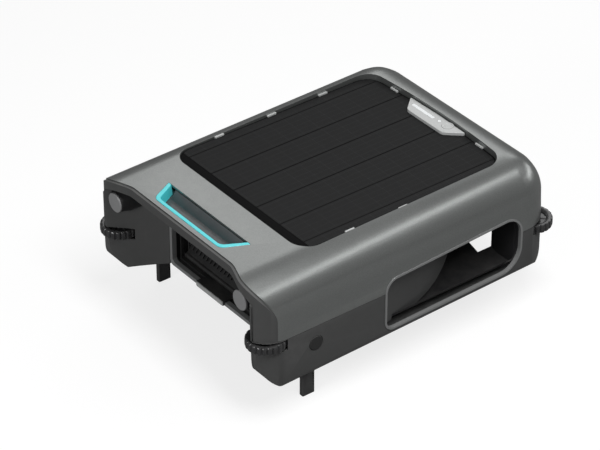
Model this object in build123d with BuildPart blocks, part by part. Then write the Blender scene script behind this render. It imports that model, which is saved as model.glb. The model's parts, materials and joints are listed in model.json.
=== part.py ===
# Solar-powered pool surface skimmer: a catamaran hull under a wide deck that carries a solar panel.
# Millimetres. X is across, -Y is the front (the intake mouth), +Z is up.
# The origin is on the ground under the middle of the body; the two legs stand on Z = 0.
import os
from math import atan2, cos, degrees, radians, sin

from build123d import *

os.makedirs("parts", exist_ok=True)

# ---------------------------------------------------------------- driving dimensions
# Hull and deck
half_width = 191.0          # middle to the outer side wall
nose_front = -258.0         # foremost point of the two noses
deck_front = -247.0         # front edge between the noses
rear = 253.5                # back wall
deck_z = 214.0              # deck height at the front edge
deck_rise = 9.0             # how much higher the deck is at the back wall
deck_setback = 6.0          # the deck's front edge stands behind the arch by this much
shoulder = 56.0             # rounding from the deck into the side walls
rear_corner = 56.5          # rounding of the back corners, seen from above
nose_corner = 42.0          # rounding of the outer nose corners, seen from above
parting_z = 127.0           # seam between the deck cover and the lower hull
side_draft = 2.5            # degrees, the cover's walls lean inwards above the seam
keel_z = 47.0               # lowest line of the pods at the front
keel_rise = 12.0            # how much higher the pods are at the back wall
keel_round = 52.0           # rounding under the noses and under the back wall
chine_round = 13.0          # rounding along the outer bottom edges
hull_wall = 3.0             # wall of the lower hull
cover_wall = 3.0            # wall of the deck cover
seam_gap = 0.6              # open line between cover and hull

# Nose lean: the noses are upright above lean_top_z and lean back by lean_back at the keel
lean_top_z = 195.0
lean_back = 12.0

# Intake
mouth_half = 94.0           # middle to the mouth's side walls
mouth_y = -192.0            # plane of the mouth frame
floor_z = 80.0              # underside of the middle of the hull
frame_bar = 5.5             # width of the mouth frame's bars
frame_depth = 8.0           # depth of the mouth frame along Y
mouth_top_z = 204.0         # top of the mouth frame
cheek_wall = 3.0            # wall of the slanted faces beside the mouth
arch_band = 12.0            # width of the arch, seen from the front
arch_inset = 1.5            # the arch stands inside the cover's outline by this much
arch_back = -238.0          # rear face of the arch

# Solar panel
strip_pitch = 51.0          # width of one row of cells with its gap
strip_gap = 1.6             # dark line between the rows of cells
strip_count = 5
panel_half = 145.5          # half the panel's width
panel_front = -154.0        # front edge
panel_rear = 189.0          # back edge at its ends
panel_bow = 8.0             # the back edge bows to the rear by this much
panel_corner = 28.0
panel_top_z = 213.4
panel_thick = 3.4
cell_thick = 0.5
gasket_thick = 1.2
panel_gap = 0.6             # open line between the panel and its recess

# Handle
handle_front = -234.0
handle_rear = -197.0
handle_front_half = 73.5
handle_rear_half = 92.0
handle_corner = 13.0
trim_width = 5.0
trim_depth = 15.0
trim_slope = 9.0            # degrees, the trim's inner faces lean outwards

# Bumper wheels
wheel_x = 166.0
wheel_y = 229.0
wheel_z = 118.0
wheel_radius = 28.0
wheel_thick = 13.0
wheel_bore = 3.05
wheel_pin = 3.0
wheel_clear = 2.0           # around and above a wheel in its slot
knurl_count = 22
knurl_radius = 2.6

# Side windows and the ducts behind them
window_front = -51.0
window_rear = 189.0
window_top_front = 147.0
window_top_rear = 158.5
window_low_front = 64.0
window_low_rear = 70.0
window_corners = [          # each corner and its rounding
    ((window_front, window_low_front), 16.0),
    ((window_front, window_top_front), 22.0),
    ((window_rear, window_low_rear), 36.0),
    ((window_rear, window_top_rear), 28.0),
]
bezel_width = 3.4
duct_inner = 98.0
duct_outer = 186.2
duct_top = 162.0
duct_front = -54.0
duct_rear = 186.0
duct_wall = 2.2

# Thrusters
thruster_x = 135.0
thruster_z = 107.0
tube_radius = 34.0
tube_wall = 2.5
tube_front = -106.0
motor_radius = 14.0
motor_length = 34.0
prop_radius = 30.0
prop_hub = 8.0
shaft_radius = 2.0
shaft_bore = 2.05

# Legs
leg_x = 165.0
leg_y = -161.0
leg_width = 8.0             # along X
leg_length = 20.0           # along Y
leg_height = 108.0
leg_clear = 0.4
socket_wall = 2.5

# Basket
basket_half = 88.5
basket_front = -184.0
basket_rear = 94.0
basket_low = 86.2
basket_top = 150.0
basket_wall = 2.4

# ---------------------------------------------------------------- shared shapes
deck_tilt = degrees(atan2(deck_rise, rear - deck_front))
keel_tilt = degrees(atan2(keel_rise, rear - nose_front))
high = 300.0                # above everything
low = 20.0                  # below the hull
reach = 320.0               # beyond the hull along Y
deadrise = 0.36             # the pods' undersides rise towards the middle


def deck_at(y):
    # height of the deck's top over a place along Y
    return deck_z + deck_rise * (y - deck_front) / (rear - deck_front)


def slab(inset):
    # the block under the tilted deck, rounded at the shoulders and the back
    side = half_width - inset
    back = rear - inset
    corner = rear_corner - inset
    with BuildPart() as block:
        with BuildSketch(Plane.XY.offset(low)):
            with BuildLine():
                edge = Line((0, -reach), (side, -reach))
                wall = Line(edge @ 1, (side, back - corner))
                turn = TangentArc(wall @ 1, (side - corner, back), tangent=(0, 1))
                Line(turn @ 1, (0, back))
                mirror(about=Plane.YZ)
            make_face()
        extrude(amount=parting_z - low)
        extrude(block.faces().sort_by(Axis.Z)[-1], amount=high - parting_z, taper=side_draft)
        deck_plane = Plane(
            origin=(0, deck_front, deck_z - inset),
            z_dir=(0, -sin(radians(deck_tilt)), cos(radians(deck_tilt))),
        )
        split(bisect_by=deck_plane, keep=Keep.BOTTOM)
        deck_face = block.faces().sort_by(Axis.Z)[-1]
        rounded = deck_face.edges().filter_by(lambda e: e.center().Y > -reach + 1)
        fillet(rounded, radius=shoulder - inset)
    return block.part


def plan_prism(inset, setback):
    # the outline seen from above
    side = half_width - inset
    back = rear - inset
    corner = rear_corner - inset
    nose = nose_front + inset + setback
    middle = deck_front + inset + setback
    nose_x = half_width - nose_corner
    with BuildPart() as prism:
        with BuildSketch(Plane.XY.offset(low)):
            with BuildLine():
                lip = Line((0, middle), (0.57 * half_width, middle))
                sweep_out = Spline(
                    lip @ 1, (nose_x, nose), tangents=[(1, 0), (1, 0)], tangent_scalars=[0.8, 0.8]
                )
                tip = TangentArc(
                    sweep_out @ 1, (side, nose + side - nose_x), tangent=(1, 0)
                )
                wall = Line(tip @ 1, (side, back - corner))
                turn = TangentArc(wall @ 1, (side - corner, back), tangent=(0, 1))
                Line(turn @ 1, (0, back))
                mirror(about=Plane.YZ)
            make_face()
        extrude(amount=high - low)
    return prism.part


def side_prism(inset, setback):
    # the outline seen from the side: leaning noses, rising keel
    nose = nose_front + inset + setback
    foot = nose + lean_back
    back = rear - inset
    keel = keel_z + inset
    with BuildPart() as prism:
        with BuildSketch(Plane.YZ.offset(-half_width - 5)) as outline:
            with BuildLine():
                Polyline(
                    (nose, high),
                    (nose, lean_top_z),
                    (foot, keel),
                    (back, keel + keel_rise),
                    (back, high),
                    close=True,
                )
            make_face()
            fillet(outline.vertices().sort_by(Axis.Y)[:2], radius=keel_round - inset)
        extrude(amount=2 * half_width + 10)
    return prism.part


def chine_prism(inset):
    # rounds the outer bottom edges along the rising keel
    tilt = radians(keel_tilt)
    keel_plane = Plane(
        origin=(0, rear, keel_z + keel_rise + inset),
        x_dir=(1, 0, 0),
        z_dir=(0, -cos(tilt), -sin(tilt)),
    )
    with BuildPart() as prism:
        with BuildSketch(keel_plane) as section:
            Rectangle(
                2 * (half_width - inset), high, align=(Align.CENTER, Align.MIN)
            )
            fillet(section.vertices().sort_by(Axis.Y)[:2], radius=chine_round - inset)
        extrude(amount=2 * reach)
        with BuildSketch(keel_plane) as tail:
            add(section.sketch_local)
        extrude(amount=-40)
    return prism.part


def underside_prism(inset):
    # flat in the middle, lower towards the outer sides
    beyond = half_width + 10
    drop = deadrise * (beyond - mouth_half)
    with BuildPart() as prism:
        with BuildSketch(Plane.XZ.offset(-reach)):
            with BuildLine():
                Polyline(
                    (-beyond, high),
                    (-beyond, floor_z + inset - drop),
                    (-mouth_half, floor_z + inset),
                    (mouth_half, floor_z + inset),
                    (beyond, floor_z + inset - drop),
                    (beyond, high),
                    close=True,
                )
            make_face()
        extrude(amount=2 * reach)
    return prism.part


def underbody(inset, setback):
    # everything but the deck block
    with BuildPart() as form:
        add(plan_prism(inset, setback))
        add(side_prism(inset, setback), mode=Mode.INTERSECT)
        add(chine_prism(inset), mode=Mode.INTERSECT)
        add(underside_prism(inset), mode=Mode.INTERSECT)
    return form.part


def cheek_side(shift):
    # the slanted face from a nose back to the mouth, seen from above
    start = Vector(half_width - arch_band - arch_inset - 3.4 + shift, nose_front - 6)
    end = Vector(mouth_half + 3.0 + shift, mouth_y - frame_depth / 2 + 0.5 * shift)
    bulge = Vector(0.6, 0.8) * 4.0
    return start, (start + end) * 0.5 + bulge, end


def bay_prism(shift):
    # the open space between the noses, in front of the mouth
    start, middle, end = cheek_side(shift)
    back = mouth_y + frame_depth / 2
    with BuildPart() as prism:
        with BuildSketch(Plane.XY.offset(low)):
            with BuildLine():
                front = Line((0, start.Y - 20), (start.X, start.Y - 20))
                side = Line(front @ 1, start)
                face = ThreePointArc(side @ 1, middle, end)
                inner = Line(face @ 1, (end.X, back))
                Line(inner @ 1, (0, back))
                mirror(about=Plane.YZ)
            make_face()
        extrude(amount=high - low)
    return prism.part


def window_sketch(grow):
    # the side window, seen from the side; local X is along Y, local Y is up
    with BuildSketch() as sketch:
        with BuildLine():
            Polyline(
                (window_front, window_low_front),
                (window_rear, window_low_rear),
                (window_rear, window_top_rear),
                (window_front, window_top_front),
                close=True,
            )
        make_face()
        for corner, radius in window_corners:
            fillet(sketch.vertices().sort_by_distance(corner)[0], radius=radius)
        offset(amount=grow, kind=Kind.INTERSECTION)
    return sketch.sketch


def recess_sketch(grow):
    # the panel's outline with its bowed back edge, larger by grow
    half = panel_half + grow
    front = panel_front - grow
    back = panel_rear + grow
    with BuildSketch() as sketch:
        with BuildLine():
            edge = Line((-half, front), (half, front))
            wall = Line(edge @ 1, (half, back))
            bow = ThreePointArc(wall @ 1, (0, back + panel_bow), (-half, back))
            Line(bow @ 1, edge @ 0)
        make_face()
        fillet(sketch.vertices(), radius=panel_corner + grow)
    return sketch.sketch


def handle_sketch(shrink, rear_extra):
    # the handle's outline: wide at the back, narrow and rounded at the front
    splay = (handle_rear_half - handle_front_half) / (handle_rear - handle_front)
    rear_half = handle_rear_half - shrink + splay * rear_extra
    with BuildSketch() as sketch:
        with BuildLine():
            Polyline(
                (-rear_half, handle_rear + rear_extra),
                (-handle_front_half + shrink, handle_front + shrink),
                (handle_front_half - shrink, handle_front + shrink),
                (rear_half, handle_rear + rear_extra),
                close=True,
            )
        make_face()
        fillet(sketch.vertices().sort_by(Axis.Y)[:2], radius=handle_corner - 0.5 * shrink)
    return sketch.sketch


wheel_spots = [(sx * wheel_x, sy * wheel_y) for sx in (-1, 1) for sy in (-1, 1)]
slot_low = wheel_z - wheel_thick / 2 - wheel_clear
slot_high = wheel_z + wheel_thick / 2 + wheel_clear

body_form = underbody(0, 0)
deck_form = slab(0)


def seat_sockets():
    # the holes that the wheels, the legs and the windows need in cover and hull alike
    with BuildPart() as cutter:
        with BuildSketch(Plane.XY.offset(slot_low)):
            with Locations(*wheel_spots):
                Circle(wheel_radius + wheel_clear)
        extrude(amount=slot_high - slot_low)
        for side in (-1, 1):
            with BuildSketch(Plane.YZ.offset(side * (duct_outer + 8))):
                add(window_sketch(0))
            extrude(amount=-side * 14)
    return cutter.part


sockets = seat_sockets()


def save(piece, label):
    piece.part.label = label
    export_step(piece.part, f"parts/{label}.step")


def handed(maker, name):
    # makes the right piece, mirrors it for the left, and writes both
    right = maker()
    right_name = f"{name}_right"
    right.label = right_name
    export_step(right, f"parts/{right_name}.step")
    left = mirror(right, about=Plane.YZ)
    left_name = f"{name}_left"
    left.label = left_name
    export_step(left, f"parts/{left_name}.step")


# ---------------------------------------------------------------- lower hull
post_radius = 5.0
screw_radius = 1.8
screw_head = 3.6
screw_head_depth = 2.4
front_post = (112.0, -165.0)
rear_post = (70.0, 240.0)
outlet_inner = 104.0        # the jet leaves downwards and to the back between these two
outlet_outer = 134.0
outlet_front = 160.0
outlet_top = 119.0
port_y = -166.0
port_z = 100.0
port_radius = 11.0
wheel_post = 7.0
post_spots = [(sx * x, y) for sx in (-1, 1) for x, y in (front_post, rear_post)]

with BuildPart() as lower_hull:
    add(body_form)
    add(underbody(hull_wall, 0), mode=Mode.SUBTRACT)
    split(bisect_by=Plane.XY.offset(parting_z - seam_gap / 2), keep=Keep.BOTTOM)
    # posts for the cover's screws and for the wheels' pins
    with BuildSketch(Plane.XY.offset(floor_z - 3)):
        with Locations(*post_spots):
            Circle(post_radius)
    extrude(amount=parting_z - floor_z + 1)
    with BuildSketch(Plane.XY.offset(floor_z - 12)):
        with Locations(*wheel_spots):
            Circle(wheel_post)
    extrude(amount=slot_low - floor_z + 12)
    add(body_form, mode=Mode.INTERSECT)
    add(bay_prism(cheek_wall + 0.2), mode=Mode.SUBTRACT)
    add(sockets, mode=Mode.SUBTRACT)
    # screw holes from below
    with BuildSketch(Plane.XY.offset(low)):
        with Locations(*post_spots):
            Circle(screw_head + 0.3)
    extrude(amount=floor_z + 2 - low, mode=Mode.SUBTRACT)
    with BuildSketch(Plane.XY.offset(low)):
        with Locations(*post_spots):
            Circle(screw_radius + 0.1)
    extrude(amount=high - low, mode=Mode.SUBTRACT)
    # pin holes in the wheel posts
    with BuildSketch(Plane.XY.offset(slot_low - 6)):
        with Locations(*wheel_spots):
            Circle(wheel_pin)
    extrude(amount=10, mode=Mode.SUBTRACT)
    # holes for the legs
    with BuildSketch(Plane.XY.offset(low)):
        with Locations((-leg_x, leg_y), (leg_x, leg_y)):
            Rectangle(leg_width + 2 * leg_clear, leg_length + 2 * leg_clear)
    extrude(amount=parting_z - low, mode=Mode.SUBTRACT)
    # jet outlets through the bottom and the back wall
    for side in (-1, 1):
        with BuildSketch(Plane.XY.offset(low)):
            with Locations((side * (outlet_inner + outlet_outer) / 2, (outlet_front + rear + 20) / 2)):
                Rectangle(outlet_outer - outlet_inner, rear + 20 - outlet_front)
        extrude(amount=outlet_top - low, mode=Mode.SUBTRACT)
    # charging port on the right side
    with BuildSketch(Plane.YZ.offset(half_width + 5)):
        with Locations((port_y, port_z)):
            Circle(port_radius + 0.3)
    extrude(amount=-12, mode=Mode.SUBTRACT)
save(lower_hull, "lower_hull")

# ---------------------------------------------------------------- deck cover
pan_wall = 2.6
pan_floor_z = panel_top_z - panel_thick - gasket_thick

nose_wall_x = half_width - arch_inset - arch_band + 0.5


def nose_walls():
    # the cover's walls turn in around the outer nose corners
    with BuildPart() as walls:
        add(plan_prism(0, deck_setback))
        add(plan_prism(cover_wall, deck_setback), mode=Mode.SUBTRACT)
        add(side_prism(0, deck_setback), mode=Mode.INTERSECT)
        add(deck_form, mode=Mode.INTERSECT)
        split(bisect_by=Plane.XY.offset(parting_z + seam_gap / 2), keep=Keep.TOP)
        with BuildSketch(Plane.XY.offset(low)):
            with Locations((0, nose_front + nose_corner + deck_setback + 2)):
                Rectangle(4 * half_width, 4 * reach, align=(Align.CENTER, Align.MIN))
            Rectangle(2 * nose_wall_x, 4 * reach)
        extrude(amount=high - low, mode=Mode.SUBTRACT)
    return walls.part


with BuildPart() as top_cover:
    add(deck_form)
    add(slab(cover_wall), mode=Mode.SUBTRACT)
    # the pan under the solar panel
    with BuildSketch(Plane.XY.offset(pan_floor_z - pan_wall)):
        add(recess_sketch(panel_gap + pan_wall))
    extrude(amount=high - pan_floor_z)
    # posts for screws and wheel pins
    with BuildSketch(Plane.XY.offset(parting_z + 1)):
        with Locations(*post_spots):
            Circle(post_radius)
    extrude(amount=deck_z - cover_wall + 1 - parting_z)
    with BuildSketch(Plane.XY.offset(slot_high)):
        with Locations(*wheel_spots):
            Circle(wheel_post)
    extrude(amount=deck_z - slot_high)
    add(deck_form, mode=Mode.INTERSECT)
    split(bisect_by=Plane.XY.offset(parting_z + seam_gap / 2), keep=Keep.TOP)
    add(plan_prism(0, deck_setback), mode=Mode.INTERSECT)
    add(side_prism(0, deck_setback), mode=Mode.INTERSECT)
    add(nose_walls())
    with BuildSketch(Plane.XY.offset(pan_floor_z)):
        add(recess_sketch(panel_gap))
    extrude(amount=high - pan_floor_z, mode=Mode.SUBTRACT)
    with BuildSketch(Plane.XY.offset(deck_z - 30)):
        add(handle_sketch(-0.2, 0))
    extrude(amount=60, mode=Mode.SUBTRACT)
    add(sockets, mode=Mode.SUBTRACT)
    with BuildSketch(Plane.XY.offset(slot_high - 1)):
        with Locations(*wheel_spots):
            Circle(wheel_pin)
    extrude(amount=7, mode=Mode.SUBTRACT)
    with BuildSketch(Plane.XY.offset(parting_z - 5)):
        with Locations(*post_spots):
            Circle(screw_radius + 0.05)
    extrude(amount=22, mode=Mode.SUBTRACT)
save(top_cover, "top_cover")

# ---------------------------------------------------------------- arch, cheeks and mouth frame
arch_step = 0.4             # open line in front of the cover's edge

with BuildPart() as front_arch:
    add(slab(arch_inset))
    add(plan_prism(arch_inset, 0), mode=Mode.INTERSECT)
    add(side_prism(arch_inset, 0), mode=Mode.INTERSECT)
    with BuildPart(mode=Mode.PRIVATE) as behind:
        add(plan_prism(-arch_step, deck_setback))
        add(side_prism(-arch_step, deck_setback), mode=Mode.INTERSECT)
    add(behind.part, mode=Mode.SUBTRACT)
    # open between the cheeks, with legs that close the nose tips
    with BuildPart(mode=Mode.PRIVATE) as gateway:
        add(slab(arch_inset + arch_band))
        add(bay_prism(cheek_wall + 0.3), mode=Mode.INTERSECT)
    add(gateway.part, mode=Mode.SUBTRACT)
    # the tongue that holds the arch under the cover's edge
    with BuildPart(mode=Mode.PRIVATE) as tongue:
        add(slab(cover_wall + 0.4))
        add(plan_prism(cover_wall + 0.4, 0), mode=Mode.INTERSECT)
        add(side_prism(cover_wall + 0.4, 0), mode=Mode.INTERSECT)
        split(bisect_by=Plane.XZ.offset(-arch_back), keep=Keep.TOP)
        add(slab(arch_inset + arch_band), mode=Mode.SUBTRACT)
        with BuildSketch(Plane.XY.offset(low)):
            Rectangle(2 * nose_wall_x - 1.2, 4 * reach)
        extrude(amount=high - low, mode=Mode.INTERSECT)
    add(tongue.part)
    split(bisect_by=Plane.XY.offset(parting_z + seam_gap / 2), keep=Keep.TOP)
    add(sockets, mode=Mode.SUBTRACT)
save(front_arch, "front_arch")

sensor_x = 141.5
sensor_z = 178.0
sensor_front = -253.0
sensor_back = -206.0
sensor_radius = 15.0
sensor_flange = 17.6
cheek_top = slab(arch_inset + arch_band + 0.3)


def cheek():
    with BuildPart() as plate:
        add(bay_prism(cheek_wall))
        add(bay_prism(0), mode=Mode.SUBTRACT)
        add(cheek_top, mode=Mode.INTERSECT)
        add(body_form, mode=Mode.INTERSECT)
        split(bisect_by=Plane.YZ.offset(mouth_half + 1), keep=Keep.TOP)
        with BuildSketch(Plane.XZ.offset(-reach)):
            with Locations((sensor_x, sensor_z)):
                Circle(sensor_flange + 0.3)
        extrude(amount=2 * reach, mode=Mode.SUBTRACT)
        add(sockets, mode=Mode.SUBTRACT)
    return plate.part


handed(cheek, "cheek")

with BuildPart() as mouth_frame:
    with BuildSketch(Plane.XZ.offset(-mouth_y - frame_depth / 2)):
        with Locations((0, (floor_z + mouth_top_z) / 2)):
            RectangleRounded(2 * mouth_half + 5, mouth_top_z - floor_z, 7)
        with Locations((0, (floor_z + mouth_top_z) / 2)):
            RectangleRounded(
                2 * mouth_half + 5 - 2 * frame_bar,
                mouth_top_z - floor_z - 2 * frame_bar,
                5,
                mode=Mode.SUBTRACT,
            )
    extrude(amount=frame_depth)
save(mouth_frame, "mouth_frame")

# ---------------------------------------------------------------- distance sensors
def sensor():
    # a round snout that widens behind its lens and passes through the cheek
    with BuildPart() as housing:
        with BuildSketch(Plane.XY.offset(sensor_z)):
            with BuildLine():
                Polyline(
                    (sensor_x, sensor_front + 2),
                    (sensor_x + sensor_radius, sensor_front + 2),
                    (sensor_x + sensor_radius, sensor_front + 8),
                    (sensor_x + sensor_flange, sensor_front + 18),
                    (sensor_x + sensor_flange, sensor_back),
                    (sensor_x, sensor_back),
                    close=True,
                )
            make_face()
        revolve(axis=Axis((sensor_x, 0, sensor_z), (0, 1, 0)))
    return housing.part


handed(sensor, "sensor")


def sensor_face():
    with BuildPart() as disc:
        with BuildSketch(Plane.XZ.offset(-sensor_front)):
            with Locations((sensor_x, sensor_z)):
                Circle(sensor_radius - 0.8)
        extrude(amount=-2)
        fillet(disc.edges().sort_by(Axis.Y)[0], radius=0.8)
    return disc.part


handed(sensor_face, "sensor_face")

# ---------------------------------------------------------------- handle
handle_top = deck_at((handle_front + handle_rear) / 2) + 0.4

with BuildPart() as handle_trim:
    with BuildSketch(Plane.XY.offset(handle_top)):
        add(handle_sketch(0, -0.2))
    extrude(amount=-trim_depth)
    with BuildSketch(Plane.XY.offset(handle_top + 1)):
        add(handle_sketch(trim_width, 20))
    extrude(amount=-trim_depth - 4, taper=trim_slope, mode=Mode.SUBTRACT)
save(handle_trim, "handle_trim")

tray_z = handle_top - trim_depth - 2.4
tray_wall = 2.0
wedge_half = handle_rear_half - trim_width - 11.0
with BuildPart() as handle_window:
    with BuildSketch(Plane.XY.offset(tray_z)):
        add(handle_sketch(1.0, -0.4))
    extrude(amount=tray_wall)
    with BuildSketch(Plane.YZ.offset(-wedge_half)):
        with BuildLine():
            Polyline(
                (handle_rear - 9, tray_z + tray_wall),
                (handle_rear - 0.4, handle_top - 3.6),
                (handle_rear - 0.4, tray_z),
                (handle_rear - 12, tray_z),
                close=True,
            )
        make_face()
    extrude(amount=2 * wedge_half)
save(handle_window, "handle_window")

with BuildPart() as tray_bosses:
    for side in (-1, 1):
        with BuildSketch(Plane.XY.offset(tray_z - 9)):
            with Locations((side * (handle_front_half - 6), (handle_front + handle_rear) / 2)):
                Circle(6.5)
        extrude(amount=9 - 0.01)
save(tray_bosses, "tray_bosses")

# ---------------------------------------------------------------- solar panel
laminate_z = pan_floor_z + gasket_thick

with BuildPart() as panel_gasket:
    with BuildSketch(Plane.XY.offset(pan_floor_z)):
        add(recess_sketch(-0.5))
        add(recess_sketch(-9), mode=Mode.SUBTRACT)
    extrude(amount=gasket_thick)
save(panel_gasket, "panel_gasket")

with BuildPart() as solar_panel:
    with BuildSketch(Plane.XY.offset(laminate_z)):
        add(recess_sketch(0))
    extrude(amount=panel_thick - cell_thick)
save(solar_panel, "solar_panel")

cell_margin = 2.2
cells_front = panel_front + 16.0
tab_front = 170.5
tab_front_half = 38.0
tab_rear_half = 58.0

with BuildPart() as solar_cells:
    with BuildSketch(Plane.XY.offset(laminate_z + panel_thick - cell_thick)):
        add(recess_sketch(-cell_margin))
        with Locations((0, cells_front)):
            Rectangle(4 * half_width, 400, align=(Align.CENTER, Align.MIN), mode=Mode.INTERSECT)
        with GridLocations(strip_pitch, 1, strip_count + 1, 1):
            Rectangle(strip_gap, 4 * half_width, mode=Mode.SUBTRACT)
    extrude(amount=cell_thick)
save(solar_cells, "solar_cells")

clip_length = 15.0
clip_width = 3.0
clip_height = 2.6
clip_places = [-75.0, 15.0, 105.0]
back_clip_x = 92.0
back_clip_end = (back_clip_x + clip_length / 2) / (panel_half + panel_gap)
back_clip_y = panel_rear + panel_gap + panel_bow * (1 - back_clip_end**2) - clip_width / 2 - 0.3
with BuildPart() as panel_clips:
    with BuildSketch(Plane.XY.offset(panel_top_z)):
        for side in (-1, 1):
            with Locations(*[(side * (panel_half + panel_gap - clip_width / 2), y) for y in clip_places]):
                Rectangle(clip_width, clip_length)
        with Locations((-back_clip_x, back_clip_y), (back_clip_x, back_clip_y)):
            Rectangle(clip_length, clip_width)
    extrude(amount=clip_height)
save(panel_clips, "panel_clips")

# ---------------------------------------------------------------- control tab
tab_thick = 4.4
tab_z = panel_top_z
tab_back = panel_rear + panel_bow + panel_gap - 1.6
button_x = 30.0
button_y = 187.5
button_radius = 8.6
button_bore = 8.9
button_travel = 1.0
led_x = (-43.0, 3.0)
led_y = 185.0
led_width = 5.4
icon_x = 13.5
icon_y = 186.5


def tab_sketch():
    with BuildSketch() as sketch:
        with BuildLine():
            Polyline(
                (-tab_front_half, tab_front),
                (tab_front_half, tab_front),
                (tab_rear_half, tab_back - 3.0),
                (tab_rear_half, tab_back - 1.4),
                (0, tab_back),
                (-tab_rear_half, tab_back - 1.4),
                (-tab_rear_half, tab_back - 3.0),
                close=True,
            )
        make_face()
        fillet(sketch.vertices().group_by(Axis.Y)[0], radius=11)
    return sketch.sketch


led_places = [((led_x[0] + led_x[1]) / 2, led_y)]
with BuildPart() as control_tab:
    with BuildSketch(Plane.XY.offset(tab_z)):
        add(tab_sketch())
    extrude(amount=tab_thick)
    fillet(control_tab.faces().sort_by(Axis.Z)[-1].edges(), radius=0.8)
    with BuildSketch(Plane.XY.offset(tab_z + tab_thick - 1.2)):
        with Locations(*led_places):
            SlotOverall(led_x[1] - led_x[0] + 0.2, led_width + 0.2)
        with Locations((icon_x, icon_y)):
            Circle(2.7)
    extrude(amount=5, mode=Mode.SUBTRACT)
    with BuildSketch(Plane.XY.offset(tab_z + 0.8)):
        with Locations((button_x, button_y)):
            Circle(button_bore)
    extrude(amount=10, mode=Mode.SUBTRACT)
save(control_tab, "control_tab")

with BuildPart() as light_bar:
    with BuildSketch(Plane.XY.offset(tab_z + tab_thick - 1.2)):
        with Locations(*led_places):
            SlotOverall(led_x[1] - led_x[0], led_width)
    extrude(amount=1.3)
save(light_bar, "light_bar")

with BuildPart() as signal_light:
    with BuildSketch(Plane.XY.offset(tab_z + tab_thick - 1.2)):
        with Locations((icon_x, icon_y)):
            Circle(2.5)
    extrude(amount=1.3)
save(signal_light, "signal_light")

button_low = tab_z + 0.8 + button_travel + 0.2
with BuildPart() as power_button:
    with BuildSketch(Plane.XY.offset(button_low)):
        with Locations((button_x, button_y)):
            Circle(button_radius)
    extrude(amount=tab_z + tab_thick + 0.5 - button_low)
    with BuildSketch(Plane.XY.offset(tab_z + tab_thick + 0.1)):
        with Locations((button_x, button_y)):
            Circle(0.72 * button_radius)
            Circle(0.56 * button_radius, mode=Mode.SUBTRACT)
    extrude(amount=2, mode=Mode.SUBTRACT)
save(power_button, "power_button")

# ---------------------------------------------------------------- bumper wheels
for name, spot in zip(("left_front", "left_rear", "right_front", "right_rear"), wheel_spots):
    with BuildPart() as wheel:
        with BuildSketch(Plane.XY.offset(wheel_z - wheel_thick / 2)):
            with Locations(spot):
                Circle(wheel_radius)
                with PolarLocations(wheel_radius + 0.45 * knurl_radius, knurl_count):
                    Circle(knurl_radius, mode=Mode.SUBTRACT)
        extrude(amount=wheel_thick)
        # shallow dishes above and below leave a raised hub and rim
        for z in (wheel_z + wheel_thick / 2 - 2.5, wheel_z - wheel_thick / 2):
            with BuildSketch(Plane.XY.offset(z)):
                with Locations(spot):
                    Circle(wheel_radius - 6)
                    Circle(9, mode=Mode.SUBTRACT)
            extrude(amount=2.5, mode=Mode.SUBTRACT)
        with BuildSketch(Plane.XY.offset(low)):
            with Locations(spot):
                Circle(wheel_bore)
        extrude(amount=high - low, mode=Mode.SUBTRACT)
    save(wheel, f"bumper_wheel_{name}")

with BuildPart() as wheel_pins:
    with BuildSketch(Plane.XY.offset(slot_low - 6)):
        with Locations(*wheel_spots):
            Circle(wheel_pin)
    extrude(amount=slot_high - slot_low + 12)
save(wheel_pins, "wheel_pins")

# ---------------------------------------------------------------- side windows and ducts
bezel_form = underbody(-0.9, 0)
cover_bezel_form = slab(-0.9)


def bezel():
    with BuildPart() as ring:
        with BuildSketch(Plane.YZ.offset(half_width + 3)):
            add(window_sketch(-0.2))
            add(window_sketch(-bezel_width), mode=Mode.SUBTRACT)
        extrude(amount=-(half_width + 3 - duct_outer - 0.3))
        add(bezel_form, mode=Mode.INTERSECT)
        add(cover_bezel_form, mode=Mode.INTERSECT)
    return ring.part


handed(bezel, "window_bezel")


def duct_sketch(shrink):
    # the duct's section seen from the front: sloping floor, upright inner wall, flat roof
    with BuildSketch() as sketch:
        with BuildLine():
            Polyline(
                (duct_inner, floor_z + 4.0),
                (duct_inner + 48, floor_z - 11.5),
                (duct_outer - 14, floor_z - 11.5),
                (duct_outer, floor_z + 3.0),
                (duct_outer, duct_top),
                (duct_inner, duct_top),
                close=True,
            )
        make_face()
        if shrink:
            offset(amount=-shrink, kind=Kind.INTERSECTION)
    return sketch.sketch


def duct():
    with BuildPart() as liner:
        with BuildSketch(Plane.XZ.offset(-duct_rear)):
            add(duct_sketch(0))
        extrude(amount=duct_rear - duct_front)
        with BuildSketch(Plane.XZ.offset(-duct_rear + duct_wall)):
            add(duct_sketch(duct_wall))
        extrude(amount=duct_rear - duct_front - 2 * duct_wall, mode=Mode.SUBTRACT)
        # open side towards the window
        with BuildSketch(Plane.YZ.offset(duct_outer + 5)):
            add(window_sketch(-bezel_width))
        extrude(amount=-12, mode=Mode.SUBTRACT)
        # the jet comes in at the front
        with BuildSketch(Plane.XZ.offset(-duct_front + 5)):
            with Locations((thruster_x, thruster_z)):
                Circle(tube_radius - tube_wall)
        extrude(amount=-10, mode=Mode.SUBTRACT)
        # and leaves through the floor and the back wall
        with BuildSketch(Plane.XY.offset(low)):
            with Locations(((outlet_inner + outlet_outer) / 2, (outlet_front + rear) / 2)):
                Rectangle(outlet_outer - outlet_inner, rear - outlet_front)
        extrude(amount=outlet_top - low, mode=Mode.SUBTRACT)
    return liner.part


handed(duct, "jet_duct")
vane_wall = 2.4


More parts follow.
